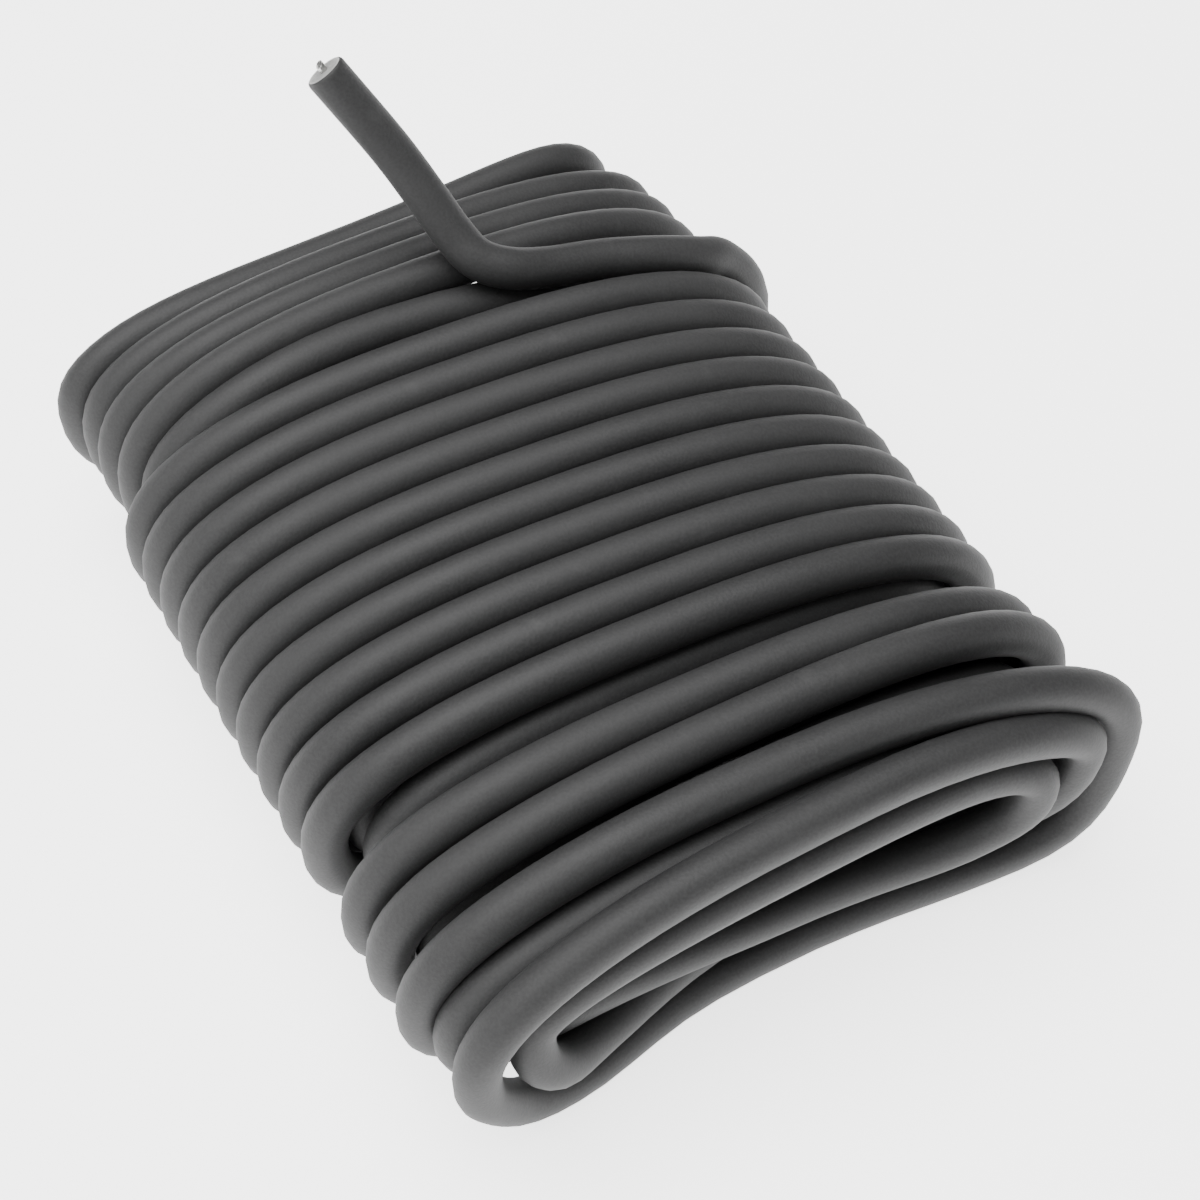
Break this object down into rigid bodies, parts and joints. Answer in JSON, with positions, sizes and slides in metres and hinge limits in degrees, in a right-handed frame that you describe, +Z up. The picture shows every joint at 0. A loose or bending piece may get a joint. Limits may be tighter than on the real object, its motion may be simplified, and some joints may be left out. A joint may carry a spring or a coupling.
{
  "type": "rubber insulated wire coil",
  "caption": "Hank of thick rubber covered steel wire, wound flat in two layers, with one free end standing up and a stub of the steel core showing at each cut end.",
  "frame": {"origin": "on the floor, on the flat underside of a turn in the middle of the hank", "axes": "+X along the winding's axis from the free end's turns to the loose turns, +Y across the turns, +Z up"},
  "size_m": [0.1299, 0.1002, 0.0708],
  "materials": {
    "rubber": "matt dark grey rubber with a fine grain",
    "steel_core": "bright drawn steel, freshly cut"
  },
  "bodies": {
    "root": {"wound_hank": "rubber", "free_end": "rubber", "steel_core_free_end": "steel_core", "steel_core_hank_end": "steel_core"}
  },
  "joints": []
}
